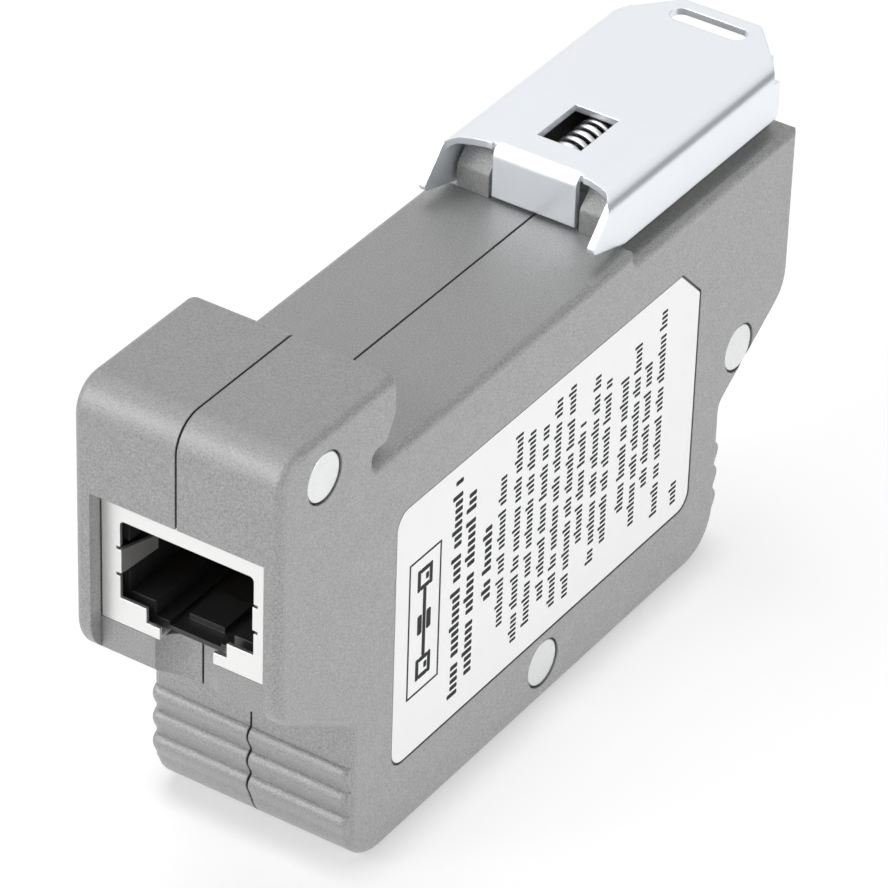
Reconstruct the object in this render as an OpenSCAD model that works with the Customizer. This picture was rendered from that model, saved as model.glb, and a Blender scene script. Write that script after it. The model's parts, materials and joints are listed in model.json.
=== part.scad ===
// Rail-mounted surge protector with a shielded network jack at each end.
// X runs across the two shells, Y from jack to jack, Z up. The origin is at
// the middle of the flat base. Millimetres.

/* [Housing] */
// Width over both shells
body_w = 18.4; // [18:0.1:19.2]
// Length from one jack face to the other
body_l = 71.6; // [70:0.2:75]
// Height of the deck that lies against the rail
deck_z = 36.3; // [36:0.1:38]
// How far the deck drops beside the latch island
deck_step = 1; // [0.8:0.1:1.4]
// Thickness of the moulded walls
wall = 1.5; // [1.2:0.1:1.6]
// Radius of the soft edge round each shell's side
edge_r = 0.8; // [0.5:0.1:1]
// Width of half of the fine line between the shells
seam_gap = 0.09; // [0.05:0.01:0.12]
// Depth of the fine line between the shells
seam_depth = 0.35; // [0.2:0.05:0.5]

/* [Rail grip] */
// Width of the mounting rail over its flanges
rail_w = 35; // [34.6:0.1:35.4]
// Thickness of the rail's flange
rail_t = 1; // [0.8:0.1:1.1]
// Play of the rail in the hook
rail_play = 0.2; // [0.1:0.05:0.3]
// Height of the hook block above the deck
hook_h = 6.7; // [6.2:0.1:7.2]
// Depth of the hook's undercut
hook_reach = 3; // [2.6:0.1:3.2]
// Length of the hook block
hook_l = 14.8; // [14:0.2:16]

/* [Finger grips] */
// Distance from the jack face back to the grip face
grip_back = 9.6; // [9:0.1:10.4]
// Height at which the jack block's slanted underside meets the grip face
grip_top = 13.8; // [13:0.1:15]
// Slope of the jack block's underside in degrees
under_slope = 33.5; // [30:0.5:36]
// Pitch of the grip ridges
ridge_pitch = 2.3; // [2.1:0.05:2.5]
// Width of one ridge
ridge_w = 1.4; // [1.2:0.05:1.7]
// How far a ridge stands out
ridge_h = 0.5; // [0.3:0.05:0.6]
// Height of the middle of the lowest ridge
ridge_z = 4.7; // [4.4:0.1:4.9]

/* [Jacks] */
// Width of the plug opening
plug_w = 11.9; // [11.7:0.1:12.1]
// Height of the plug opening
plug_h = 6.95; // [6.8:0.05:7.1]
// Width of the shield outside
shield_w = 15.2; // [15:0.1:15.3]
// Height of the shield outside
shield_h = 11.2; // [11:0.1:11.3]
// Length of the shield
shield_l = 16; // [15:0.5:17]
// Sheet thickness of the shield
shield_t = 0.3; // [0.25:0.05:0.4]
// Depth of the shield's face behind the jack face of the housing
jack_inset = 1.3; // [1.1:0.1:1.6]
// Width of the latch notch's upper and lower step
notch_w = [7.2, 4.8];
// Height of the latch notch's upper and lower step
notch_h = [1.3, 1.0];
// Depth of the moulded insert's face behind the shield's face
insert_inset = 1.1; // [0.8:0.1:1.4]
// Height of a spring finger at its root
finger_h = 2.35; // [2:0.05:2.6]
// Width of the scoop for the plug's lever
scoop_w = 5.6; // [5.2:0.1:6.4]
// Depth of the scoop behind the shield's face
scoop_d = 2.1; // [1.8:0.1:2.3]
// Width of one contact wire
wire_w = 0.45; // [0.35:0.05:0.5]
// Pitch of the contact wires
wire_pitch = 1.02; // [1:0.01:1.04]

/* [Board and protectors] */
// Thickness of the circuit board
board_t = 1.6; // [1.4:0.1:1.6]
// Diameter of a gas tube
tube_d = 7; // [6:0.1:7.4]
// Length of a gas tube
tube_l = 10.5; // [9:0.5:12]
// Pitch of the gas tubes
tube_pitch = 9; // [8:0.1:9.6]
// Length, width and height of a clamping diode pack
pack_size = [5, 6.2, 2.3];

/* [Rivets] */
// Diameter of a rivet head
rivet_head_d = 4.1; // [3.8:0.05:4.15]
// Diameter of a rivet shank
rivet_d = 2.6; // [2.4:0.1:2.8]
// Diameter of the sunk ring round a rivet head
rivet_sink_d = 4.3; // [4.25:0.05:4.8]
// Depth of the sunk ring
rivet_sink = 0.6; // [0.5:0.05:0.8]

/* [Label] */
// Length of the label
label_l = 42.4; // [40:0.2:44]
// Height of the label
label_h = 23.5; // [22:0.1:24]
// Length of the label's cut corner
label_cut = 3; // [2:0.1:4]
// Thickness of the label
label_t = 0.2; // [0.15:0.05:0.2]

/* [Latch] */
// Thickness of the latch sheet
sheet_t = 0.6; // [0.5:0.05:0.8]
// Width of the latch over its flanges
latch_w = 16; // [15.8:0.1:16.4]
// Height of the latch's top face above the deck
latch_h = 4.9; // [4.8:0.1:5.2]
// Length of the flanges behind the island's front
flange_l = 23.3; // [22.6:0.1:23.8]
// How far the claws reach over the rail's flange
claw_reach = 3.9; // [3.6:0.1:4.4]
// How far the end tongue stands out past the flanges
tongue_l = 4.3; // [4:0.1:5]
// Width of the tab that presses on the rail
tab_w = 7.6; // [7:0.1:7.8]
// How far the tab stands in front of the island
tab_lead = 0.1; // [0.05:0.05:0.3]
// Travel of the latch when it is pulled back
latch_travel = 5; // [4.5:0.1:5.2]
// Width of the screwdriver slot
driver_slot = [7, 2];
// Width and length of the spring window
window = [4, 5.5];

/* [Latch spring] */
// Outer diameter of the coil spring
spring_d = 3.9; // [3.6:0.05:3.9]
// Diameter of the spring wire
spring_wire = 0.55; // [0.5:0.05:0.6]
// Number of turns
spring_turns = 13; // [11:1:14]

/* [Hidden] */
$fn = 48;
far = 100;
fit = 0.1;
loose = 0.3;
// An arc stands out by this much, so that it crosses the edges beside it.
bite = 0.002;
// Overlap of the cuts that round a rim, and how much shallower each kind is.
lap = 0.01;
arc_ease = 0.006;
run_ease = 0.012;
inner_ease = 0.018;

half_w = body_w / 2;
half_l = body_l / 2;
inner_w = half_w - wall;
low_z = deck_z - deck_step;
hook_top = deck_z + hook_h;
hook_y = hook_l - half_l;
catch_y = hook_y - hook_reach;
slot_top = deck_z + rail_t + rail_play;
island_y = catch_y + rail_w;
step_y = island_y + 0.4;
grip_y = half_l - grip_back;
nose_z = grip_top + grip_back * tan(under_slope);
lip_rise = 2.2;
lip_run = 1.3;

// Corners of the side outline: y, z and corner radius, counterclockwise.
outline = [
    [-grip_y, 0, 4], [grip_y, 0, 4], [grip_y, grip_top, 0.8], [half_l, nose_z, 3.5],
    [half_l, low_z, 0.5], [step_y, low_z, 0.35], [step_y, deck_z, 0.35],
    [catch_y, deck_z, 0.35], [catch_y, slot_top, 0.35], [hook_y - lip_run, slot_top, 0.35],
    [hook_y, slot_top + lip_rise, 1.4], [hook_y, hook_top, 0.9], [-half_l, hook_top, 2.7],
    [-half_l, nose_z, 3.5], [-grip_y, grip_top, 0.8]];
// The same outline without the rail hook, from which the cavity is set in.
core = [
    [-grip_y, 0, 4], [grip_y, 0, 4], [grip_y, grip_top, 0.5], [half_l, nose_z, 3.5],
    [half_l, low_z, 0.6], [catch_y, low_z, 0.4], [catch_y, hook_top, 2], [-half_l, hook_top, 2.7],
    [-half_l, nose_z, 3.5], [-grip_y, grip_top, 0.5]];

ceiling_z = low_z - wall;
shield_y = half_l - jack_inset;
// Gap between the shield and the wall over it.
shield_gap = 0.4;
shield_z = ceiling_z - shield_gap - shield_h;
plug_z = shield_z + notch_h[0] + notch_h[1];
window_w = shield_w + 2 * fit;
shelf_y = half_l - wall - 3.1;
shelf_z = shield_z - 0.05;
window_top = ceiling_z + 0.1;
board_z = shield_z - board_t;
board_l = 2 * (shelf_y - fit);
board_w = shield_w - 0.2;
ledge_l = 5;
pack_pitch = (shield_y - shield_l) / 2;
finger_z = plug_z + plug_h / 2 - 0.2;
rim = 0.08;
insert_depth = 12.9;
rivet_spots = [[-half_l + 5.3, hook_top - 3.7], [0.4, 3.6], [half_l - 7.4, 18.1]];
boss_d = rivet_d + 1.6;
label_y = 0.4;
label_z = 18.35;
label_r = 1.5;
label_sink = label_t + 0.05;

latch_top = deck_z + latch_h;
latch_under = latch_top - sheet_t;
flange_x = latch_w / 2 - sheet_t;
flange_z = deck_z + 0.2;
bend_r = 1.3;
bend_z = latch_top - bend_r;
tab_y = island_y - tab_lead;
latch_end = island_y + flange_l;
island_w = 2 * (flange_x - loose);
island_top = latch_under - loose;
relief = 0.35;
channel_w = tab_w + 2 * relief;
groove_y = island_y + 8.4;
groove_depth = 0.8;
lip_l = 11;
contact_t = 0.4;
contact_w = 4;
spring_z = (deck_z + latch_under) / 2;
spring_y = tab_y + sheet_t + fit;
// Length of the coil at rest: closed up, and the travel and a reserve more.
spring_spare = 1.05;
spring_l = spring_turns * spring_wire + latch_travel + spring_spare;
seat_y = spring_y + spring_l + contact_t + 2 * fit;

// Geometry of a rounded corner of a path of [x, y, radius] points.
function point(p) = [p[0], p[1]];
function unit(v) = v / norm(v);
function left_of(d) = [-d[1], d[0]];
function before(path, i) = path[(i + len(path) - 1) % len(path)];
function after(path, i) = path[(i + 1) % len(path)];
function way_in(path, i) = unit(point(path[i]) - point(before(path, i)));
function way_out(path, i) = unit(point(after(path, i)) - point(path[i]));
function turn_sign(path, i) = cross(way_in(path, i), way_out(path, i)) > 0 ? 1 : -1;
function turn_angle(path, i) = acos(way_in(path, i) * way_out(path, i));
function tangent(path, i) = path[i][2] * tan(turn_angle(path, i) / 2);
function arc_from(path, i) = point(path[i]) - way_in(path, i) * tangent(path, i);
function arc_to(path, i) = point(path[i]) + way_out(path, i) * tangent(path, i);
function arc_centre(path, i) =
    arc_from(path, i) + left_of(way_in(path, i)) * path[i][2] * turn_sign(path, i);
function heading(v) = atan2(v[1], v[0]);
// Corner moved inwards by d along both of its edges.
function inset_corner(path, i, d) =
    let (a = left_of(way_in(path, i)), b = left_of(way_out(path, i)))
    point(path[i]) + (a + b) * d / (1 + a * b);
function inset(path, d, least) = [
    for (i = [0 : len(path) - 1])
        let (p = inset_corner(path, i, d))
        [p[0], p[1], max(path[i][2] - d * turn_sign(path, i), least)]];

// A flat shape whose corners are true arcs.
module rounded(path) {
    difference() {
        union() {
            polygon([for (i = [0 : len(path) - 1]) each [arc_from(path, i), arc_to(path, i)]]);
            for (i = [0 : len(path) - 1])
                if (turn_sign(path, i) > 0) translate(arc_centre(path, i)) circle(path[i][2] + bite);
        }
        for (i = [0 : len(path) - 1])
            if (turn_sign(path, i) < 0) translate(arc_centre(path, i)) circle(path[i][2] + bite);
    }
}

// What lies outside a quarter round of radius r, with the sharp edge at the origin.
// The round is moved out by ease, so that it crosses both faces.
module outside_round(r, margin, ease) {
    difference() {
        translate([-r, -r]) square(r + margin);
        translate([ease - r, ease - r]) circle(r);
    }
}

// Cutter that rounds the rim of an extruded path at height top, run by run and arc by arc.
module rim_cutter(path, top, r) {
    reach = 0.7;
    over = 1;
    for (i = [0 : len(path) - 1]) {
        j = (i + 1) % len(path);
        a = arc_to(path, i);
        b = arc_from(path, j);
        convex = turn_sign(path, i) > 0;
        at_start = !convex ? 0 : path[i][2] <= r ? over : lap;
        at_end = turn_sign(path, j) < 0 ? 0 : path[j][2] <= r ? over : lap;
        run = norm(b - a) + at_start + at_end;
        translate([a[0], a[1], top]) rotate([0, 0, heading(b - a) - 90])
            translate([0, run - at_start, 0]) rotate([90, 0, 0])
                linear_extrude(run) outside_round(r, reach, run_ease);
        centre = arc_centre(path, i);
        if (convex && path[i][2] > r)
            translate([centre[0], centre[1], top]) rotate([0, 0, heading(arc_from(path, i) - centre)])
                rotate_extrude(angle = turn_angle(path, i)) translate([path[i][2], 0])
                    outside_round(r, reach, arc_ease);
        spare = lap / path[i][2] * 180 / PI;
        if (!convex)
            translate([centre[0], centre[1], top])
                rotate([0, 0, heading(arc_to(path, i) - centre) - spare])
                    rotate_extrude(angle = turn_angle(path, i) + 2 * spare) translate([path[i][2], 0])
                        mirror([1, 0]) outside_round(r, path[i][2] * 0.7, inner_ease);
    }
}

// Turns a shape drawn in y and z so that its height runs along X.
module sideways() {
    rotate([90, 0, 90]) children();
}

module slab(path, from, to) {
    translate([0, 0, from]) linear_extrude(to - from) rounded(path);
}

// A box between two corners.
module block(low, high) {
    translate(low) cube(high - low);
}

// Does something at both jack ends.
module both_ends() {
    children();
    mirror([0, 1, 0]) children();
}

// Half-round ridges across the grip faces.
module ridges() {
    r = (pow(ridge_w / 2, 2) + pow(ridge_h, 2)) / (2 * ridge_h);
    both_ends()
        for (i = [0 : 2])
            translate([0, -grip_y - ridge_h + r, ridge_z + i * ridge_pitch])
                rotate([0, 90, 0]) cylinder(h = half_w, r = r);
}

// Block under a jack, between the side walls, that carries the shield's front.
module jack_shelf() {
    fall = tan(under_slope);
    under = nose_z - jack_inset * fall;
    both_ends()
        sideways() linear_extrude(inner_w + 0.2) polygon([
            [-shield_y, under + 0.3], [-shield_y, shelf_z - 0.25], [-shield_y + 0.25, shelf_z],
            [-shelf_y, shelf_z],
            [-shelf_y, under - (shield_y - shelf_y) * fall],
            [-shield_y + 0.3, under - 0.3 * fall]]);
}

// Jack window, and the scoop for the plug's lever with the line between the shells on its back.
module jack_cuts() {
    w = window_w / 2;
    scoop_r = (pow(scoop_w / 2, 2) + pow(scoop_d, 2)) / (2 * scoop_d);
    both_ends() {
        block([-1, -far, 0], [w, -shield_y, window_top]);
        block([-1, -shield_y - 1, shelf_z], [w, -shelf_y + 0.5, window_top]);
        translate([0, scoop_d - scoop_r - shield_y, 0]) cylinder(h = shelf_z + 1, r = scoop_r);
        block([-1, -far, 0], [seam_gap, -shield_y + scoop_d + seam_depth, shelf_z + 1]);
    }
}

// Raised block on the deck that guides the latch and holds its spring.
module island() {
    rise = 1.9;
    back = half_l - 1.2;
    sideways() linear_extrude(island_w / 2) rounded([
        [island_y, low_z - 1, 0.3], [back, low_z - 1, 0.3], [back, island_top, 0.5],
        [island_y + rise, island_top, 0.7], [island_y, island_top - rise, 0.7]]);
}

module island_cuts() {
    block([-1, island_y - 1, deck_z], [channel_w / 2, seat_y, far]);
    block([island_w / 2 - groove_depth, groove_y, flange_z - loose],
          [far, far, flange_z + sheet_t + loose]);
    block([-1, seat_y - contact_t - fit, ceiling_z - 1],
          [contact_w / 2 + fit, seat_y + 0.01, island_top - 0.6]);
}

// Ledges that carry the circuit board along a shell's wall.
module board_ledges() {
    ledge_w = 1;
    both_ends()
        for (y = [ledge_l - board_l / 2, -board_l / 4])
            block([board_w / 2 - ledge_w, y, board_z - 1.4], [inner_w + 0.2, y + ledge_l, board_z - 0.05]);
}

// Hollow posts through which the rivets pass, the lowest one on a rib.
module bosses() {
    for (s = rivet_spots)
        translate([0, s[0], s[1]]) rotate([0, 90, 0]) cylinder(h = half_w - 0.5, d = boss_d);
    foot = rivet_spots[1];
    block([0, foot[0] - wall / 2, wall / 2], [inner_w + 0.2, foot[0] + wall / 2, foot[1]]);
}

module rivet_cuts() {
    for (s = rivet_spots)
        translate([0, s[0], s[1]]) rotate([0, 90, 0]) {
            translate([0, 0, -1]) cylinder(h = body_w, d = rivet_d + 2 * fit);
            translate([0, 0, half_w - rivet_sink]) cylinder(h = rivet_sink + 1, d = rivet_sink_d);
        }
}

// The half of the housing on the +X side.
module shell() {
    difference() {
        union() {
            difference() {
                union() {
                    sideways() slab(outline, 0, half_w);
                    ridges();
                }
                sideways() slab(inset(core, wall, 0.5), -1, inner_w);
                sideways() rim_cutter(outline, half_w, edge_r);
            }
            jack_shelf();
            island();
            board_ledges();
            bosses();
        }
        jack_cuts();
        island_cuts();
        rivet_cuts();
        sideways() translate([0, 0, -1]) linear_extrude(1 + seam_gap)
            difference() {
                square(2 * far, center = true);
                rounded(inset(outline, seam_depth, 0.1));
            }
    }
}

module label_outline(grow) {
    l = label_l / 2 + grow;
    h = label_h / 2 + grow;
    rounded([
        [label_y - l, label_z - h, label_r], [label_y + l, label_z - h, label_r],
        [label_y + l, label_z + h - label_cut, 0.3], [label_y + l - label_cut, label_z + h, 0.3],
        [label_y - l, label_z + h, label_r]]);
}

module right_shell() {
    color("#a6a7a7") difference() {
        shell();
        sideways() translate([0, 0, half_w - label_sink]) linear_extrude(1) label_outline(0.15);
    }
}

module left_shell() {
    color("#a6a7a7") mirror([1, 0, 0]) shell();
}

// Solid rivet with two low domed heads.
module rivet(spot) {
    head = rivet_sink - 0.1;
    grip = half_w - rivet_sink;
    color("#e6e9e8") translate([0, spot[0], spot[1]]) rotate([0, 90, 0]) {
        cylinder(h = 2 * grip, d = rivet_d, center = true);
        for (s = [-1, 1]) mirror([0, 0, s < 0 ? 1 : 0])
            translate([0, 0, grip]) rotate_extrude() polygon([
                [0, 0], [rivet_head_d / 2, 0], [rivet_head_d / 2, head - 0.12],
                [rivet_head_d / 2 - 0.12, head], [0, head]]);
    }
}

module front_rivet() { rivet(rivet_spots[0]); }
module bottom_rivet() { rivet(rivet_spots[1]); }
module rear_rivet() { rivet(rivet_spots[2]); }

module rating_label() {
    color("#f4f5f6") sideways() translate([0, 0, half_w - label_sink])
        linear_extrude(label_t) label_outline(0);
}

// Opening for a plug, made smaller all round by in, with the two steps of its latch notch.
module plug_opening(in) {
    w = plug_w / 2 - in;
    upper = notch_w[0] / 2 - in;
    lower = notch_w[1] / 2 - in;
    top = plug_z + plug_h - in;
    low = plug_z + in;
    step = low - notch_h[0];
    end = step - notch_h[1] - 1;
    r = 0.4;
    polygon([
        [-w, low], [-upper, low], [-upper, step], [-lower, step], [-lower, end], [lower, end],
        [lower, step], [upper, step], [upper, low], [w, low], [w, top - r], [w - r, top],
        [r - w, top], [-w, top - r]]);
    for (s = [-1, 1]) translate([s * (w - r), top - r]) circle(r + bite);
}

// Draws a shape of x and z as a prism that runs from one y to another.
module along(from, to) {
    translate([0, to, 0]) rotate([90, 0, 0]) linear_extrude(to - from) children();
}

// Folded sheet round a jack, with a spring finger on each side of the opening.
module jack_shield() {
    w = shield_w / 2;
    root_x = plug_w / 2 + 0.1;
    finger_l = 3.8;
    tip_h = 1.2;
    slot_w = 0.3;
    difference() {
        block([-w, -shield_y, shield_z], [w, -shield_y + shield_l, shield_z + shield_h]);
        block([-w + shield_t, -shield_y + shield_t, shield_z + shield_t],
              [w - shield_t, far, shield_z + shield_h - shield_t]);
        along(-shield_y - 1, -shield_y + shield_t + 0.1) plug_opening(0);
        block([-notch_w[1] / 2, -shield_y - 1, shield_z - 1],
              [notch_w[1] / 2, -shield_y + scoop_d - 0.6, shield_z + 1]);
        for (s = [-1, 1], z = [finger_z - finger_h / 2, finger_z + finger_h / 2])
            block([s * root_x - 0.25, -shield_y - 1, z - slot_w / 2],
                  [s * root_x + 0.25, -shield_y + shield_t + 0.1, z + slot_w / 2]);
    }
    translate([0, -shield_y, 0]) for (s = [0, 1]) mirror([s, 0, 0]) intersection() {
        translate([0, 0, shield_z]) linear_extrude(shield_h) polygon([
            [root_x + 0.1, 0], [root_x - 0.2, 0], [root_x - 0.85, finger_l - 0.1],
            [root_x - 0.6, finger_l], [root_x + 0.1, shield_t]]);
        translate([0, 0, finger_z]) sideways() linear_extrude(w) polygon([
            [-1, (slot_w - finger_h) / 2], [shield_t + 0.1, (slot_w - finger_h) / 2],
            [finger_l + 0.1, -tip_h / 2], [finger_l + 0.1, tip_h / 2],
            [shield_t + 0.1, (finger_h - slot_w) / 2], [-1, (finger_h - slot_w) / 2]]);
    }
}

module front_jack_shield() { color("#eeeeea") jack_shield(); }
module rear_jack_shield() { color("#eeeeea") mirror([0, 1, 0]) jack_shield(); }

// Moulded insert that guides the plug.
module jack_body() {
    w = shield_w / 2 - shield_t - fit;
    low = shield_z + shield_t + 0.05;
    high = shield_z + shield_h - shield_t - 0.05;
    front = -shield_y + insert_inset;
    sill = low + 0.4;
    room_l = 3.4;
    catch_w = 3.2;
    catch_from = 1.5;
    catch_to = 5;
    catch_h = 0.9;
    difference() {
        block([-w, front, low], [w, -shield_y + shield_l, high]);
        intersection() {
            along(front - 1, -shield_y + insert_depth) plug_opening(rim);
            block([-w, front - 2, sill], [w, 0, high]);
        }
        for (s = [-1, 1])
            block([s * plug_w / 2 - 0.6, front - 1, finger_z - finger_h / 2 - 0.1],
                  [s * plug_w / 2 + 0.6, front + room_l, finger_z + finger_h / 2 + 0.1]);
    }
    block([-catch_w / 2, front + catch_from, low], [catch_w / 2, front + catch_to, low + catch_h]);
}

module front_jack_body() { color("#1c1c1e") jack_body(); }
module rear_jack_body() { color("#1c1c1e") mirror([0, 1, 0]) jack_body(); }

// Eight sprung contact wires that lie along the opening's ceiling and fold back.
module jack_contacts() {
    wire_t = 0.35;
    wire_droop = 2.4;
    nose = 1.5;
    tip = 9;
    root = insert_depth - 0.2;
    top = plug_z + plug_h - rim - 0.02;
    translate([0, -shield_y, 0]) for (i = [-3.5 : 1 : 3.5])
        translate([i * wire_pitch - wire_w / 2, 0, 0]) sideways() linear_extrude(wire_w) polygon([
            [root, top], [nose + 0.5, top], [nose, top - 0.3], [nose + 0.3, top - 0.8],
            [tip, top - wire_droop], [tip + 0.2, top - wire_droop + wire_t], [nose + 1.1, top - wire_t],
            [root, top - wire_t]]);
}

module front_jack_contacts() { color("#d9b45a") jack_contacts(); }
module rear_jack_contacts() { color("#d9b45a") mirror([0, 1, 0]) jack_contacts(); }

module circuit_board() {
    color("#2f6b3f") block([-board_w / 2, -board_l / 2, board_z], [board_w / 2, board_l / 2, shield_z]);
}

// Gas tube on three leads under the circuit board.
module gas_tube(place) {
    z = board_z - 1.2 - tube_d / 2;
    y = place * tube_pitch;
    color("#d8dadb") union() {
        for (x = [-tube_l / 2, -1, tube_l / 2 - 2])
            translate([x, y, z]) rotate([0, 90, 0]) cylinder(h = 2, d = tube_d);
        translate([-tube_l / 2 + 1, y, z]) rotate([0, 90, 0]) cylinder(h = tube_l - 2, d = tube_d - 0.5);
        for (x = [-tube_l / 2 + 1, 0, tube_l / 2 - 1])
            translate([x, y, z]) cylinder(h = board_z - z - 0.02, d = 0.9);
    }
}

module gas_tube_1() { gas_tube(-1.5); }
module gas_tube_2() { gas_tube(-0.5); }
module gas_tube_3() { gas_tube(0.5); }
module gas_tube_4() { gas_tube(1.5); }

// Flat clamping diode pack with a row of leads on each side.
module diode_pack(place) {
    y = place * pack_pitch;
    s = pack_size;
    color("#26272a") translate([0, y, shield_z + 0.02]) {
        block([-s[1] / 2, -s[0] / 2, 0.1], [s[1] / 2, s[0] / 2, s[2]]);
        for (side = [-1, 1], k = [-1.5 : 1 : 1.5])
            translate([side * s[1] / 2, k * 1.27, 0.25])
                cube([1.8, 0.4, 0.5], center = true);
    }
}

module diode_pack_1() { diode_pack(-1.5); }
module diode_pack_2() { diode_pack(-0.5); }
module diode_pack_3() { diode_pack(0.5); }
module diode_pack_4() { diode_pack(1.5); }

// Metal strip behind the spring that leads down to the rear jack's shield.
module earth_contact() {
    y = seat_y - contact_t;
    foot_z = shield_z + shield_h + 0.02;
    peg_l = 2.5;
    color("#c98f4e") {
        block([-contact_w / 2, y, foot_z], [contact_w / 2, seat_y - 0.05, island_top - 0.7]);
        translate([0, y, spring_z]) rotate([90, 0, 0])
            cylinder(h = peg_l, d = spring_d - 2 * spring_wire - loose);
    }
}

// Cross section of the latch: top plate with a rounded bend at each side.
module latch_section() {
    w = latch_w / 2;
    r = bend_r - sheet_t;
    difference() {
        rounded([[-w, 0, 0.2], [w, 0, 0.2], [w, latch_top, bend_r], [-w, latch_top, bend_r]]);
        rounded([[-flange_x, -1, 0.2], [flange_x, -1, 0.2],
                 [flange_x, latch_under, r], [-flange_x, latch_under, r]]);
    }
}

// Side view of the flanges, with the slanted claws in front.
module latch_side() {
    rise = 1.2;
    claw_y = island_y - claw_reach;
    rounded([
        [claw_y + 0.1, flange_z + rise, 0.3], [step_y + 0.2, flange_z, 0.4],
        [latch_end, flange_z, 0.6], [latch_end, bend_z - 0.4, 1],
        [latch_end - 0.4, bend_z + 0.6, 0.3], [latch_end + 1, bend_z + 0.6, 0.1],
        [latch_end + 1, latch_top + 1, 0.4], [claw_y + 3, latch_top + 0.4, 0.3],
        [claw_y - 0.2, flange_z + rise + 0.5, 0.3]]);
}

// Plan of the front edge beside the tab, which is cut back in a curve.
module latch_front_relief() {
    x = tab_w / 2;
    polygon([
        [-flange_x, 0], [-flange_x, tab_y - 1.2], [-flange_x + 0.7, tab_y - 0.4],
        [-flange_x + 1.8, tab_y + 0.1], [-flange_x + 2.8, tab_y + 0.4],
        [-x - relief, tab_y + 0.4], [-x - relief, tab_y + 0.6],
        [-x, tab_y + 0.6], [-x, 0]]);
}

module rail_latch() {
    w = latch_w / 2;
    end_w = 3.6;
    bend = 1;
    // The tongue's sides run on over the bends: distance back for each millimetre outwards.
    flat_x = w - bend_r;
    flare = 1.17;
    side_y = latch_end + tongue_l - flare * (flat_x - end_w);
    color("#e3e7ea") difference() {
        union() {
            intersection() {
                along(island_y - 10, latch_end + 1) latch_section();
                translate([-w - 1, 0, 0]) sideways() linear_extrude(latch_w + 2) latch_side();
            }
            translate([0, 0, latch_under]) linear_extrude(sheet_t) rounded([
                [-flat_x, latch_end - 3, 0.3], [flat_x, latch_end - 3, 0.3],
                [flat_x, side_y, 0.01], [end_w, latch_end + tongue_l, 0.8],
                [-end_w, latch_end + tongue_l, 0.8], [-flat_x, side_y, 0.01]]);
            for (s = [0, 1]) mirror([s, 0, 0])
                block([flange_x - sheet_t, groove_y + fit, flange_z],
                      [flange_x + 0.2, groove_y + lip_l, flange_z + sheet_t]);
        }
        for (s = [0, 1]) mirror([s, 0, 0])
            translate([0, 0, bend_z]) linear_extrude(5) {
                latch_front_relief();
                polygon([[flat_x, side_y], [flat_x + 3, side_y - 3 * flare],
                         [flat_x + 3, far], [flat_x, far]]);
            }
        block([-tab_w / 2, 0, 0], [tab_w / 2, tab_y + bend, far]);
        translate([0, island_y + 6.1, 0])
            block([-window[0] / 2, -window[1] / 2, latch_under - 1], [window[0] / 2, window[1] / 2, far]);
        translate([0, latch_end + 2.1, latch_under - 1]) linear_extrude(5) {
            square([driver_slot[0] - driver_slot[1], driver_slot[1]], center = true);
            for (s = [-1, 1]) translate([s * (driver_slot[0] - driver_slot[1]) / 2, 0])
                circle(d = driver_slot[1]);
        }
    }
    color("#e3e7ea") translate([-tab_w / 2, 0, 0]) sideways() linear_extrude(tab_w) difference() {
        rounded([[tab_y, deck_z + loose, 0.15], [tab_y + bend + 0.01, deck_z + loose, 0.15],
                 [tab_y + bend + 0.01, latch_top, 0.005], [tab_y, latch_top, bend]]);
        rounded([[tab_y + sheet_t, 0, 0.1], [tab_y + 5, 0, 0.1], [tab_y + 5, latch_under, 0.1],
                 [tab_y + sheet_t, latch_under, bend - sheet_t]]);
    }
}

// Closed tube swept along a helix: rings of points, joined by triangles.
module coil(length, d, wire, turns) {
    per_turn = 12;
    sides = 6;
    rings = turns * per_turn;
    r = (d - wire) / 2;
    slope = atan2(length - wire, turns * PI * (d - wire));
    points = [
        for (i = [0 : rings])
            let (a = 360 * i / per_turn, h = wire / 2 + (length - wire) * i / rings)
            for (k = [0 : sides - 1])
                let (b = 360 * k / sides, u = cos(b) * wire / 2, v = sin(b) * wire / 2)
                [(r + u) * cos(a) + v * sin(slope) * sin(a),
                 (r + u) * sin(a) - v * sin(slope) * cos(a), h + v * cos(slope)]];
    skin = [
        for (i = [0 : rings - 1], k = [0 : sides - 1])
            let (n = (k + 1) % sides, p = i * sides + k, q = i * sides + n)
            each [[p, p + sides, q], [q, p + sides, q + sides]]];
    start = [for (k = [1 : sides - 2]) [0, k, k + 1]];
    end = [for (k = [1 : sides - 2]) [rings * sides, rings * sides + k + 1, rings * sides + k]];
    polyhedron(points, concat(skin, start, end));
}

module latch_spring() {
    color("#b9bdbf") translate([0, spring_y + spring_l, spring_z]) rotate([90, 0, 0])
        coil(spring_l, spring_d, spring_wire, spring_turns);
}

right_shell();
left_shell();
front_rivet();
bottom_rivet();
rear_rivet();
rating_label();
front_jack_shield();
rear_jack_shield();
front_jack_body();
rear_jack_body();
front_jack_contacts();
rear_jack_contacts();
circuit_board();
gas_tube_1();
gas_tube_2();
gas_tube_3();
gas_tube_4();
diode_pack_1();
diode_pack_2();
diode_pack_3();
diode_pack_4();
earth_contact();
rail_latch();
latch_spring();
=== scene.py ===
import json
import math

import bpy
import numpy as np
from mathutils import Matrix, Vector


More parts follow.
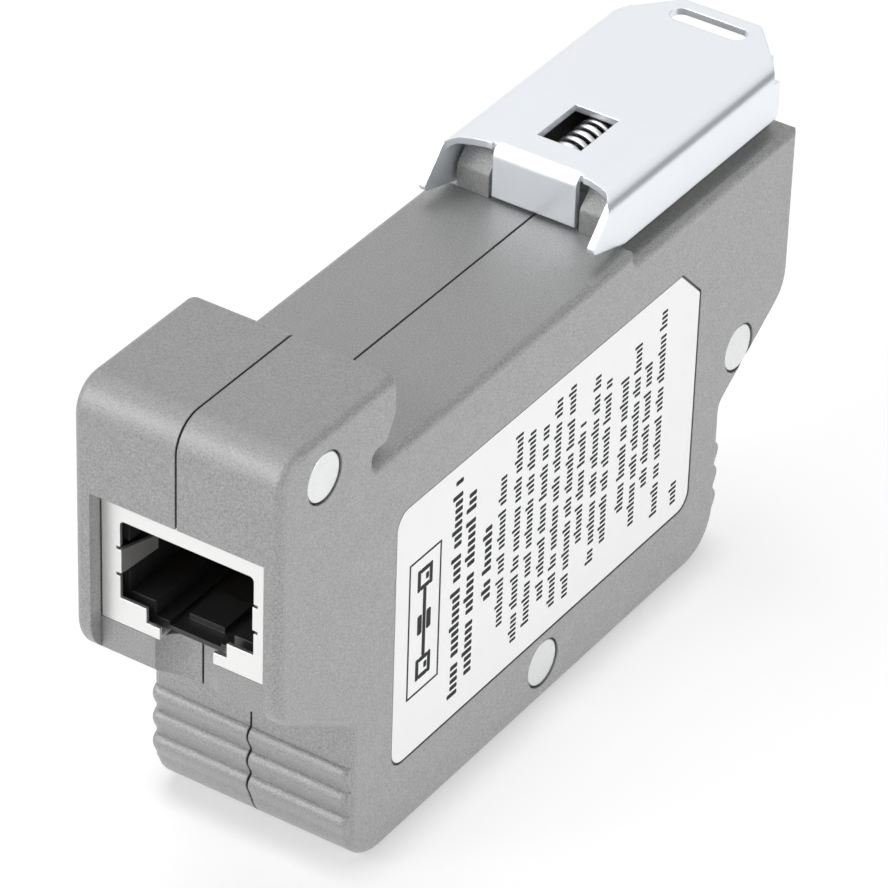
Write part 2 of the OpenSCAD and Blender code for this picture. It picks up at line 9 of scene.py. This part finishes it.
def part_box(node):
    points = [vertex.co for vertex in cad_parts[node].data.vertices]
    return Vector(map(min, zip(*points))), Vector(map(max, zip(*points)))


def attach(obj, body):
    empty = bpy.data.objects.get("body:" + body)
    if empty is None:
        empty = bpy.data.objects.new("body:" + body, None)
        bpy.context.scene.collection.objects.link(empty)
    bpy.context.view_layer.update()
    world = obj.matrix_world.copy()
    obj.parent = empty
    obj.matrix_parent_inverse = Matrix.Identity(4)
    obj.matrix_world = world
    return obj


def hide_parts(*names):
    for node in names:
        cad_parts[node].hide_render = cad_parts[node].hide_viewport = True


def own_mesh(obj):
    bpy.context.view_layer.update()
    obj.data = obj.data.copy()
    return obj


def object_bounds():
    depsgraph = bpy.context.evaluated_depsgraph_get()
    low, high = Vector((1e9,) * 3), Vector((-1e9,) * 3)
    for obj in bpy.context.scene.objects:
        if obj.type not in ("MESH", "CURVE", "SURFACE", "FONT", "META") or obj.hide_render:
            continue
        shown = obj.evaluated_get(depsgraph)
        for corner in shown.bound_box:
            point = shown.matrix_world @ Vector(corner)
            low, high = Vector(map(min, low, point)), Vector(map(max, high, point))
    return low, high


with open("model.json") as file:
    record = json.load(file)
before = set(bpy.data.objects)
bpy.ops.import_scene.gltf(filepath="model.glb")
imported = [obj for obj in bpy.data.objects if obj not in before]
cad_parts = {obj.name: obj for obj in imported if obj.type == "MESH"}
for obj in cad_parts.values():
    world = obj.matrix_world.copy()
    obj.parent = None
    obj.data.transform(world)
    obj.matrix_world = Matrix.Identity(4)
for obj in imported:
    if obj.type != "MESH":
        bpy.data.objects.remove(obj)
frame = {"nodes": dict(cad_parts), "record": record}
CAD_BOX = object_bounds()
MM = 0.001

# The camera, worked out from known sizes of the object in the photograph.
EYE = Vector((189.716, -296.559, 268.573)) * MM
AZIMUTH = math.radians(32.665)
ELEVATION = math.radians(35.114)
ROLL = math.radians(1.880)
LENS = 225.79

LABEL_MIDDLE = (0.4, 18.35)
LABEL_SIZE = (42.4, 23.5)
INK = (0.01, 0.01, 0.011)
WORLD_LIGHT = 0.21

# Grips of the shells, in mm: distance of their faces from the middle, and middle and pitch of the ridges.
GRIP_FACE = 26.2
RIDGE_LOW = 4.7
RIDGE_PITCH = 2.3
RIDGES = 3


def place_camera():
    """Camera at EYE: its back axis points from the object to the eye, and ROLL leans it to the left."""
    back = Vector((math.sin(AZIMUTH) * math.cos(ELEVATION),
                   -math.cos(AZIMUTH) * math.cos(ELEVATION), math.sin(ELEVATION)))
    level = Vector((math.cos(AZIMUTH), math.sin(AZIMUTH), 0))
    upright = back.cross(level)
    right = level * math.cos(ROLL) + upright * math.sin(ROLL)
    up = upright * math.cos(ROLL) - level * math.sin(ROLL)
    data = bpy.data.cameras.new("camera")
    data.sensor_width = 36
    data.lens = LENS
    data.clip_start = 0.01
    data.clip_end = 20
    camera = bpy.data.objects.new("camera", data)
    turn = Matrix((right, up, back)).transposed().to_4x4()
    camera.matrix_world = Matrix.Translation(EYE) @ turn
    bpy.context.scene.collection.objects.link(camera)
    bpy.context.scene.camera = camera


# Shader helpers.

def add(tree, kind, inputs=None, **values):
    """New node of a kind, with properties set by name and inputs set or linked by name or number."""
    made = tree.nodes.new("ShaderNode" + kind)
    for name, value in values.items():
        setattr(made, name, value)
    for name, value in (inputs or {}).items():
        if isinstance(value, bpy.types.NodeSocket):
            tree.links.new(value, made.inputs[name])
        else:
            made.inputs[name].default_value = value
    return made


def new_group(name, inputs, outputs):
    """Shader node group with (name, kind, default) inputs and (name, kind) outputs; gives the tree and its ends."""
    tree = bpy.data.node_groups.new(name, "ShaderNodeTree")
    for title, kind, default in inputs:
        socket = tree.interface.new_socket(title, in_out="INPUT", socket_type="NodeSocket" + kind)
        if default is not None:
            socket.default_value = default
    for title, kind in outputs:
        tree.interface.new_socket(title, in_out="OUTPUT", socket_type="NodeSocket" + kind)
    return tree, tree.nodes.new("NodeGroupInput"), tree.nodes.new("NodeGroupOutput")


def use_group(tree, group, inputs):
    """Places a node group in a tree with its inputs set or linked."""
    made = tree.nodes.new("ShaderNodeGroup")
    made.node_tree = group
    for name, value in inputs.items():
        if isinstance(value, bpy.types.NodeSocket):
            tree.links.new(value, made.inputs[name])
        else:
            made.inputs[name].default_value = value
    return made


def fine_grain():
    """Moulded grain: fine noise of a given size over a soft mottle eleven times as large."""
    tree, start, end = new_group(
        "fine grain",
        [("Place", "Vector", None), ("Size", "Float", 0.0002), ("Contrast", "Float", 0.05),
         ("Mottle", "Float", 0.05)],
        [("Tone", "Float"), ("Height", "Float")])
    scale = add(tree, "Math", {0: 1.0, 1: start.outputs["Size"]}, operation="DIVIDE")
    fine = add(tree, "TexNoise", {"Vector": start.outputs["Place"], "Scale": scale.outputs[0],
                                  "Detail": 2.0, "Roughness": 0.6})
    wide = add(tree, "Math", {0: scale.outputs[0], 1: 1 / 11}, operation="MULTIPLY")
    mottle = add(tree, "TexNoise", {"Vector": start.outputs["Place"], "Scale": wide.outputs[0],
                                    "Detail": 3.0, "Roughness": 0.6})
    cloudy = add(tree, "Math", {0: mottle.outputs["Fac"], 1: -0.5}, operation="ADD")
    base = add(tree, "Math", {0: cloudy.outputs[0], 1: start.outputs["Mottle"], 2: 1.0},
               operation="MULTIPLY_ADD")
    speckle = add(tree, "Math", {0: fine.outputs["Fac"], 1: -0.5}, operation="ADD")
    tone = add(tree, "Math", {0: speckle.outputs[0], 1: start.outputs["Contrast"], 2: base.outputs[0]},
               operation="MULTIPLY_ADD")
    tree.links.new(tone.outputs[0], end.inputs["Tone"])
    tree.links.new(fine.outputs["Fac"], end.inputs["Height"])
    return tree


def rolled_grain():
    """Rolled sheet: noise drawn out along one direction over a cloudy mottle of the plating."""
    tree, start, end = new_group(
        "rolled grain",
        [("Place", "Vector", None), ("Stretch", "Vector", (1.0, 12.0, 1.0)),
         ("Size", "Float", 0.0003), ("Contrast", "Float", 0.05)],
        [("Tone", "Float"), ("Height", "Float")])
    drawn = add(tree, "VectorMath", {0: start.outputs["Place"], 1: start.outputs["Stretch"]},
                operation="DIVIDE")
    scale = add(tree, "Math", {0: 1.0, 1: start.outputs["Size"]}, operation="DIVIDE")
    lines = add(tree, "TexNoise", {"Vector": drawn.outputs[0], "Scale": scale.outputs[0],
                                   "Detail": 3.0, "Roughness": 0.65})
    wide = add(tree, "Math", {0: scale.outputs[0], 1: 1 / 14}, operation="MULTIPLY")
    cloud = add(tree, "TexNoise", {"Vector": start.outputs["Place"], "Scale": wide.outputs[0],
                                   "Detail": 4.0, "Roughness": 0.6})
    both = add(tree, "Math", {0: lines.outputs["Fac"], 1: cloud.outputs["Fac"]}, operation="ADD")
    centred = add(tree, "Math", {0: both.outputs[0], 1: -1.0}, operation="ADD")
    tone = add(tree, "Math", {0: centred.outputs[0], 1: start.outputs["Contrast"], 2: 1.0},
               operation="MULTIPLY_ADD")
    tree.links.new(tone.outputs[0], end.inputs["Tone"])
    tree.links.new(lines.outputs["Fac"], end.inputs["Height"])
    return tree


FINE_GRAIN = fine_grain()
ROLLED_GRAIN = rolled_grain()


def surface(name, group, settings, colour, roughness, swing=0.0, bump=0.0, edge=0.0, metallic=0.0,
            specular=0.5, coat=0.0, crease=0.0):
    """A finish: a colour toned by a grain group, roughness that swings with it, its bump in mm, soft edges in mm,
    and the share of painted shade that darkens narrow creases."""
    material = bpy.data.materials.new(name)
    material.use_nodes = True
    material.diffuse_color = (*colour, 1)
    tree = material.node_tree
    shader = tree.nodes["Principled BSDF"]
    shader.inputs["Metallic"].default_value = metallic
    shader.inputs["Specular IOR Level"].default_value = specular
    shader.inputs["Coat Weight"].default_value = coat
    place = add(tree, "TexCoord").outputs["Object"]
    grain = use_group(tree, group, {"Place": place, **settings})
    # The colour sockets of a Mix node are the seventh and eighth, and its colour output is the third.
    tinted = tree.nodes.new("ShaderNodeMix")
    tinted.data_type = "RGBA"
    tinted.blend_type = "MULTIPLY"
    tinted.inputs[0].default_value = 1
    tinted.inputs[6].default_value = (*colour, 1)
    tone = grain.outputs["Tone"]
    if crease:
        # Painted shade: ambient occlusion within 0.3 mm darkens the colour in narrow creases and hollows.
        hollow = add(tree, "AmbientOcclusion", {"Distance": 0.3 * MM}, samples=12)
        painted_crease_shade = add(tree, "MapRange", {"Value": hollow.outputs["AO"], "From Min": 0.45, "From Max": 0.8,
                                      "To Min": 1 - crease, "To Max": 1.0})
        tone = add(tree, "Math", {0: tone, 1: painted_crease_shade.outputs["Result"]}, operation="MULTIPLY").outputs[0]
    tree.links.new(tone, tinted.inputs[7])
    tree.links.new(tinted.outputs[2], shader.inputs["Base Color"])
    rough = add(tree, "MapRange", {"Value": grain.outputs["Height"], "From Min": 0.3, "From Max": 0.7,
                                   "To Min": roughness - swing, "To Max": roughness + swing})
    tree.links.new(rough.outputs["Result"], shader.inputs["Roughness"])
    normal = None
    if edge:
        normal = add(tree, "Bevel", {"Radius": edge * MM}, samples=6).outputs["Normal"]
    if bump:
        raised = add(tree, "Bump", {"Height": grain.outputs["Height"], "Strength": 1.0,
                                    "Distance": bump * MM})
        if normal:
            tree.links.new(normal, raised.inputs["Normal"])
        normal = raised.outputs["Normal"]
    if normal:
        tree.links.new(normal, shader.inputs["Normal"])
    return material


def moulded(name, colour, roughness, size=0.16, contrast=0.05, mottle=0.05, **more):
    """A moulded plastic, with a grain of a size in mm."""
    settings = {"Size": size * MM, "Contrast": contrast, "Mottle": mottle}
    return surface(name, FINE_GRAIN, settings, colour, roughness, **more)


def sheet(name, colour, roughness, size=0.3, contrast=0.05, stretch=(1, 12, 1), metallic=1.0, **more):
    """A rolled or drawn metal, with a grain of a size in mm drawn out along one axis."""
    settings = {"Size": size * MM, "Contrast": contrast, "Stretch": stretch}
    return surface(name, ROLLED_GRAIN, settings, colour, roughness, metallic=metallic, **more)


FINISHES = {
    "housing": moulded("grey moulding", (0.345, 0.345, 0.345), 0.4, size=0.15, contrast=1.4, mottle=0.15,
                       swing=0.05, bump=0.055, edge=0.12, specular=1.0, crease=0.65),
    "label": moulded("label film", (0.97, 0.97, 0.97), 0.42, size=0.4, contrast=0.015, swing=0.04,
                      specular=1.0, coat=0.3),
    "rivet_metal": sheet("rivet metal", (0.78, 0.79, 0.79), 0.36, size=0.3, contrast=0.16,
                         stretch=(1, 1, 1), swing=0.06, bump=0.004, edge=0.1),
    "shield_sheet": sheet("plated shield", (0.85, 0.85, 0.84), 0.36, contrast=0.04, swing=0.04,
                          edge=0.05, metallic=0.8),
    "jack_plastic": moulded("black insert", (0.03, 0.03, 0.032), 0.4, size=0.25, contrast=0.3,
                            swing=0.06, bump=0.003, edge=0.06),
    "contact_gold": sheet("gold contacts", (0.83, 0.6, 0.26), 0.25, contrast=0.08, swing=0.05),
    "board": moulded("solder mask", (0.03, 0.15, 0.06), 0.35, size=0.5, contrast=0.1, swing=0.05, coat=0.3),
    "tube_metal": sheet("tube caps", (0.7, 0.71, 0.72), 0.35, contrast=0.08, swing=0.05),
    "pack_plastic": moulded("pack epoxy", (0.02, 0.02, 0.022), 0.45, size=0.2, contrast=0.2, swing=0.08,
                            bump=0.004),
    "bronze": sheet("spring bronze", (0.68, 0.42, 0.2), 0.32, contrast=0.08, swing=0.05),
    "latch_sheet": sheet("zinc-plated sheet", (0.89, 0.925, 0.96), 0.32, size=0.35, contrast=0.02,
                         stretch=(9, 1, 9), swing=0.02, edge=0.12, metallic=0.6),
    "spring_steel": sheet("spring wire", (0.5, 0.5, 0.51), 0.34, contrast=0.1, swing=0.06),
}


def dress_nodes():
    """Each carried-over node gets the finish of its slot in the record."""
    for part in frame["record"]["subparts"]:
        target = frame["nodes"][part["node"]]
        target.data.materials.clear()
        target.data.materials.append(FINISHES[part["material_slot"]])


def piece(name, places, faces, finish, body="housing"):
    """New piece from arrays of points in mm and of faces, with its finish, riding on a body."""
    mesh = bpy.data.meshes.new(name)
    mesh.from_pydata((np.asarray(places) * MM).tolist(), [], [list(map(int, f)) for f in faces])
    mesh.materials.append(FINISHES[finish] if isinstance(finish, str) else finish)
    made = bpy.data.objects.new(name, mesh)
    bpy.context.scene.collection.objects.link(made)
    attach(made, body)
    return made


def smooth(made):
    """Shades a piece smoothly."""
    flags = np.ones(len(made.data.polygons), bool)
    made.data.polygons.foreach_set("use_smooth", flags)


def grid_faces(rows, columns):
    """Faces of a tube: rows of rings with so many points each, joined round the ring, with a fan at each end."""
    i, k = np.meshgrid(np.arange(rows - 1), np.arange(columns), indexing="ij")
    a = i * columns + k
    b = i * columns + (k + 1) % columns
    quads = np.stack([a, b, b + columns, a + columns], axis=-1).reshape(-1, 4)
    first = np.arange(columns)[::-1]
    last = (rows - 1) * columns + np.arange(columns)
    return list(quads) + [first, last]


def coil_spring():
    """Round wire along a helix round Y. The angle runs evenly, one closed turn at each end advances by one wire,
    and the turns between share the free length: y = low + wire / 2 + wire * (closed turns so far)
    + free * (share of the open turns so far). Each ring is a circle square to the path, spanned by the outward
    radius and the direction's cross product with it."""
    low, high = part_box("latch_spring")
    low, high = np.array(low) / MM, np.array(high) / MM
    wire = 0.55
    turns = 13
    closed = 1.0
    steps = 40
    sides = 14
    middle = (low + high) / 2
    radius = (high[0] - low[0]) / 2 - wire / 2
    t = np.linspace(0, turns, turns * steps + 1)
    free = high[1] - low[1] - wire - 2 * closed * wire
    opened = np.clip((t - closed) / (turns - 2 * closed), 0, 1)
    y = low[1] + wire / 2 + wire * np.clip(t, 0, closed) + free * opened \
        + wire * np.clip(t - (turns - closed), 0, closed)
    angle = 2 * np.pi * t
    outward = np.stack([np.cos(angle), np.zeros_like(t), np.sin(angle)], axis=1)
    path = outward * radius + np.array([middle[0], 0, middle[2]])
    path[:, 1] = y
    along = np.gradient(path, axis=0)
    along /= np.linalg.norm(along, axis=1, keepdims=True)
    side = np.cross(along, outward)
    side /= np.linalg.norm(side, axis=1, keepdims=True)
    ring = 2 * np.pi * np.arange(sides) / sides
    places = path[:, None] + wire / 2 * (np.cos(ring)[None, :, None] * outward[:, None]
                                         + np.sin(ring)[None, :, None] * side[:, None])
    made = piece("coil_spring", places.reshape(-1, 3), grid_faces(len(t), sides), "spring_steel")
    smooth(made)
    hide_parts("latch_spring")
    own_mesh(made)


def grip_ridges():
    """Ridges of the grips as the fingers meet them, out to the rims of the shells and over the solids' half-round
    ones. With u out from the grip face and w up from a ridge's middle, the upper side is the arc
    u = sqrt(r^2 - w^2) - r + out, with r = (top^2 + out^2) / (2 * out), and the lower side fades into the face as
    u = out * (1 + cos(pi * w / fall)) / 2. The profile closes at a depth behind the face. Past the flat of the
    face, u follows the rim and loses rim - sqrt(rim^2 - past^2). Each ridge runs from beside the seam to just
    short of the side."""
    half_width = CAD_BOX[1][0] / MM
    rim = 0.8
    seam = 0.1
    short = 0.2
    out, top, fall, depth = 0.515, 0.72, 1.55, 0.45
    radius = (top ** 2 + out ** 2) / (2 * out)
    above = np.linspace(top, 0, 14)
    below = np.linspace(0, -fall, 16)[1:]
    u = np.concatenate([np.sqrt(radius ** 2 - above ** 2) - radius + out,
                        out * (1 + np.cos(np.pi * below / fall)) / 2])
    profile = np.column_stack([u, np.concatenate([above, below])])
    profile = np.concatenate([[(-depth, top)], profile, [(-depth, -fall)]])
    x = np.concatenate([[seam], np.linspace(half_width - rim, half_width - short, 9)])
    past = np.clip(x - (half_width - rim), 0, None)
    lost = rim - np.sqrt(rim ** 2 - past ** 2)
    places = []
    faces = []
    rows, n = len(x), len(profile)
    for end in (-1, 1):
        for side in (-1, 1):
            for i in range(RIDGES):
                rings = np.empty((rows, n, 3))
                rings[:, :, 0] = side * x[:, None]
                rings[:, :, 1] = end * (GRIP_FACE + profile[None, :, 0] - lost[:, None])
                rings[:, :, 2] = RIDGE_LOW + i * RIDGE_PITCH + profile[None, :, 1]
                base = len(places) * rows * n
                places.append(rings.reshape(-1, 3))
                # A ridge mirrored once has its faces turned round, so that they point outwards.
                faces += [(f if end * side > 0 else f[::-1]) + base for f in grid_faces(rows, n)]
    made = piece("grip_ridges", np.concatenate(places), faces, "housing")


def plates(outlines, low, high):
    """Closed plates of flat outlines in y and z, from one x to another: each outline is set at both x, joined by
    walls and closed by a face at each end."""
    places = []
    faces = []
    base = 0
    for outline in outlines:
        n = len(outline)
        places += [np.column_stack([np.full(n, low), outline]), np.column_stack([np.full(n, high), outline])]
        k = np.arange(n)
        walls = np.stack([k, (k + 1) % n, (k + 1) % n + n, k + n], axis=1) + base
        faces += list(walls) + [k[::-1] + base, k + n + base]
        base += 2 * n
    return np.concatenate(places), faces


def bar(low, high):
    """Outline of a bar between two corners in y and z, counterclockwise, its corners cut by a fifth of its width."""
    low, high = np.array(low), np.array(high)
    cut = 0.2 * min(high - low)
    a, b = low + cut, high - cut
    return np.array([(a[0], low[1]), (b[0], low[1]), (high[0], a[1]), (high[0], b[1]),
                     (b[0], high[1]), (a[0], high[1]), (low[0], b[1]), (low[0], a[1])])


# Rows of the label's print: distance from the front edge, first and last height over the lower edge, and the
# height of a stroke, in mm. The first rows are bold.
LABEL_ROWS = [
    (8.3, 1.9, 22.2, 1.35), (10.2, 2.9, 21.1, 1.35), (12.6, 8.5, 15.4, 1.25),
    (14.5, 4.8, 19.2, 1.1), (16.6, 2.0, 22.0, 1.1), (18.4, 2.6, 21.5, 1.1), (20.3, 3.8, 20.2, 1.1),
    (22.1, 2.1, 21.9, 1.1), (24.0, 1.8, 22.1, 1.1), (25.7, 6.1, 17.8, 1.1), (27.6, 3.0, 20.9, 1.1),
    (29.3, 4.0, 19.8, 1.1), (31.8, 5.5, 18.4, 1.2), (33.6, 3.1, 20.8, 1.1), (35.3, 5.9, 17.9, 1.1),
    (37.2, 2.0, 21.6, 1.1), (40.1, 1.4, 4.2, 1.1)]
BOLD_ROWS = 3
WORD_LENGTHS = (5, 8, 3, 10, 6, 9, 4, 7)


def print_row(place, low, high, height, bold, turn):
    """One row of plain strokes along Z, in runs of a few. The run lengths are taken in turn from WORD_LENGTHS.
    Every stroke is a bar across the row, from 0.34 of the height below place to 0.4 above it, or 0.66 where it is
    tall."""
    stroke = 0.42 if bold else 0.27
    pitch = 0.64 if bold else 0.46
    outlines = []
    z = low
    run = turn
    while z < high:
        for k in range(WORD_LENGTHS[run % len(WORD_LENGTHS)]):
            if z + stroke > high:
                break
            tall = (3 * k + run) % 5 == 0
            top = place - height * (0.66 if tall else 0.4)
            foot = place + height * 0.34
            outlines.append(bar((top, z), (foot, z + stroke)))
            z += pitch
        z += pitch
        run += 3
    return outlines


def frame_bars(low, high, line):
    """Four bars along the sides of a rectangle, as long as they can be without lying on each other."""
    (a, c), (b, d) = low, high
    return [bar((a, c), (a + line, d)), bar((b - line, c), (b, d)),
            bar((a + line, c), (b - line, c + line)), bar((a + line, d - line), (b - line, d))]


def label_print():
    """Print on the label: rows of plain strokes, and at its front a framed sign of two sockets joined by a line."""
    front = LABEL_MIDDLE[0] - LABEL_SIZE[0] / 2
    bottom = LABEL_MIDDLE[1] - LABEL_SIZE[1] / 2
    face = float(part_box("rating_label")[1][0]) / MM
    outlines = []
    for i, (place, low, high, height) in enumerate(LABEL_ROWS):
        outlines += print_row(front + place, bottom + low, bottom + high, height, i < BOLD_ROWS, i)
    sign_low = (front + 1.75, bottom + 5.3)
    sign_high = (front + 6.05, bottom + 18.0)
    frame_line = 0.2
    outlines += frame_bars(sign_low, sign_high, frame_line)
    middle = (sign_low[0] + sign_high[0]) / 2
    socket = 2.0
    socket_line = 0.42
    half_link = 0.22
    margin = 1.2
    ends = (sign_low[1] + margin, sign_high[1] - margin - socket)
    for z in ends:
        outlines += frame_bars((middle - socket / 2, z), (middle + socket / 2, z + socket), socket_line)
        outlines.append(bar((middle + 0.1, z + 0.7), (middle + socket / 2 - 0.5, z + socket - 0.7)))
    outlines.append(bar((middle - half_link, ends[0] + socket), (middle + half_link, ends[1])))
    centre = (sign_low[1] + sign_high[1]) / 2
    outlines += [bar((middle - 0.9, centre - 0.9), (middle - 0.3, centre + 0.9)),
                 bar((middle + 0.3, centre - 0.9), (middle + 0.9, centre + 0.9))]
    sunk = 0.02
    proud = 0.008
    places, faces = plates(outlines, face - sunk, face + proud)
    ink = moulded("print ink", INK, 0.5, size=0.3, contrast=0.1, specular=0.2)
    made = piece("label_print", places, faces, ink)


def floor():
    """Pale floor that keeps the shadow, a hair below the base. Rays from the camera and from gloss see it a little
    brighter, and a painted contact shadow makes it darker within 3 mm of the object."""
    reach = 6.0
    z = -0.00002
    corners = [(-reach, -reach, z), (reach, -reach, z), (reach, reach, z), (-reach, reach, z)]
    mesh = bpy.data.meshes.new("floor")
    mesh.from_pydata(corners, [], [(0, 1, 2, 3)])
    made = bpy.data.objects.new("floor", mesh)
    bpy.context.scene.collection.objects.link(made)
    material = bpy.data.materials.new("floor")
    material.use_nodes = True
    tree = material.node_tree
    shader = tree.nodes["Principled BSDF"]
    seen = seen_rays(tree)
    shade = add(tree, "MapRange", {"Value": seen, "To Min": 0.75, "To Max": 0.6})
    # Painted contact shadow: ambient occlusion within 3 mm dims the glow that camera and gloss rays see.
    contact = add(tree, "AmbientOcclusion", {"Distance": 3 * MM}, samples=12)
    shown = add(tree, "MapRange", {"Value": contact.outputs["AO"], "From Min": 0.5, "To Min": 0.46,
                                   "To Max": 0.66})
    glow = add(tree, "MapRange", {"Value": seen, "To Min": 0.5, "To Max": shown.outputs["Result"]})
    tree.links.new(shade.outputs["Result"], shader.inputs["Base Color"])
    tree.links.new(glow.outputs["Result"], shader.inputs["Emission Strength"])
    shader.inputs["Roughness"].default_value = 0.9
    shader.inputs["Specular IOR Level"].default_value = 0.1
    shader.inputs["Emission Color"].default_value = (1, 1, 1, 1)
    mesh.materials.append(material)


def seen_rays(tree):
    """1 for rays from the camera, from gloss or through glass, and 0 for the others."""
    path = add(tree, "LightPath")
    sharp = add(tree, "Math", {0: path.outputs["Is Glossy Ray"], 1: path.outputs["Is Transmission Ray"]},
                operation="MAXIMUM")
    return add(tree, "Math", {0: path.outputs["Is Camera Ray"], 1: sharp.outputs[0]},
               operation="MAXIMUM").outputs[0]


def card(tree, towards, wide, high, amount):
    """Card in the distance for reflections: 1 plus amount inside an upright ellipse round a direction, 1 outside,
    with a soft edge between. With d the direction looked in, f the unit vector towards the card and s a level unit
    vector square to f, the ellipse is (d.s / wide)^2 + ((d.z - f.z) / high)^2 = 1, on the side where d.f > 0."""
    far = Vector(towards).normalized()
    side = Vector((far.y, -far.x, 0)).normalized()
    way = add(tree, "TexCoord").outputs["Generated"]
    across = add(tree, "VectorMath", {0: way, 1: side}, operation="DOT_PRODUCT")
    front = add(tree, "VectorMath", {0: way, 1: far}, operation="DOT_PRODUCT")
    level = add(tree, "SeparateXYZ", {0: way}).outputs["Z"]
    u = add(tree, "Math", {0: across.outputs["Value"], 1: wide}, operation="DIVIDE")
    rise = add(tree, "Math", {0: level, 1: far.z}, operation="SUBTRACT")
    v = add(tree, "Math", {0: rise.outputs[0], 1: high}, operation="DIVIDE")
    uu = add(tree, "Math", {0: u.outputs[0], 1: 2.0}, operation="POWER")
    vv = add(tree, "Math", {0: v.outputs[0], 1: 2.0}, operation="POWER")
    distance = add(tree, "Math", {0: uu.outputs[0], 1: vv.outputs[0]}, operation="ADD")
    inside = add(tree, "MapRange", {"Value": distance.outputs[0], "From Min": 1.3, "From Max": 0.7})
    ahead = add(tree, "Math", {0: front.outputs["Value"], 1: 0.0}, operation="GREATER_THAN")
    share = add(tree, "Math", {0: inside.outputs["Result"], 1: ahead.outputs[0]}, operation="MULTIPLY")
    return add(tree, "Math", {0: share.outputs[0], 1: amount, 2: 1.0}, operation="MULTIPLY_ADD").outputs[0]


def light():
    """Soft studio light: an even pale world, large lamps above the front left, overhead and to the right, and a
    low one in front. Only reflections show two cards: a dark one low at the back right, and a bright one near the
    key lamp at the front left."""
    world = bpy.data.worlds.new("studio")
    bpy.context.scene.world = world
    world.use_nodes = True
    tree = world.node_tree
    background = tree.nodes["Background"]
    background.inputs["Color"].default_value = (1, 1, 1, 1)
    dark = card(tree, (0.69, 0.69, 0.2), 0.8, 0.32, -1.0)
    bright = card(tree, (-0.48, -0.66, 0.5), 0.42, 0.3, 4.4)
    path = add(tree, "LightPath")
    seen = add(tree, "Math", {0: path.outputs["Is Camera Ray"], 1: path.outputs["Is Transmission Ray"]},
               operation="MAXIMUM")
    cards = add(tree, "Math", {0: dark, 1: bright}, operation="MULTIPLY")
    shine = add(tree, "Math", {0: path.outputs["Is Glossy Ray"], 1: cards.outputs[0]}, operation="MULTIPLY")
    strength = add(tree, "Math", {0: shine.outputs[0], 1: seen.outputs[0]}, operation="MAXIMUM")
    plain = add(tree, "Math", {0: path.outputs["Is Diffuse Ray"], 1: WORLD_LIGHT}, operation="MULTIPLY")
    total = add(tree, "Math", {0: strength.outputs[0], 1: plain.outputs[0]}, operation="MAXIMUM")
    tree.links.new(total.outputs[0], background.inputs["Strength"])
    # Name, place in m, width in m and power in W. Each lamp faces the origin.
    lamps = [
        ("key", (-0.55, -0.75, 0.66), 0.45, 2.0),
        ("top", (-0.4, 0.2, 1.05), 0.8, 3.8),
        ("side", (1.0, 0.18, 0.22), 0.5, 3.7),
        ("front", (-0.25, -1.0, 0.1), 0.4, 2.0),
    ]
    for name, place, size, power in lamps:
        data = bpy.data.lights.new(name, "AREA")
        data.shape = "DISK"
        data.size = size
        data.energy = power
        lamp = bpy.data.objects.new(name, data)
        lamp.location = place
        lamp.rotation_euler = Vector(place).to_track_quat("Z", "Y").to_euler()
        bpy.context.scene.collection.objects.link(lamp)


bpy.context.scene.view_settings.view_transform = "Standard"
place_camera()
light()
floor()
dress_nodes()
coil_spring()
grip_ridges()
label_print()
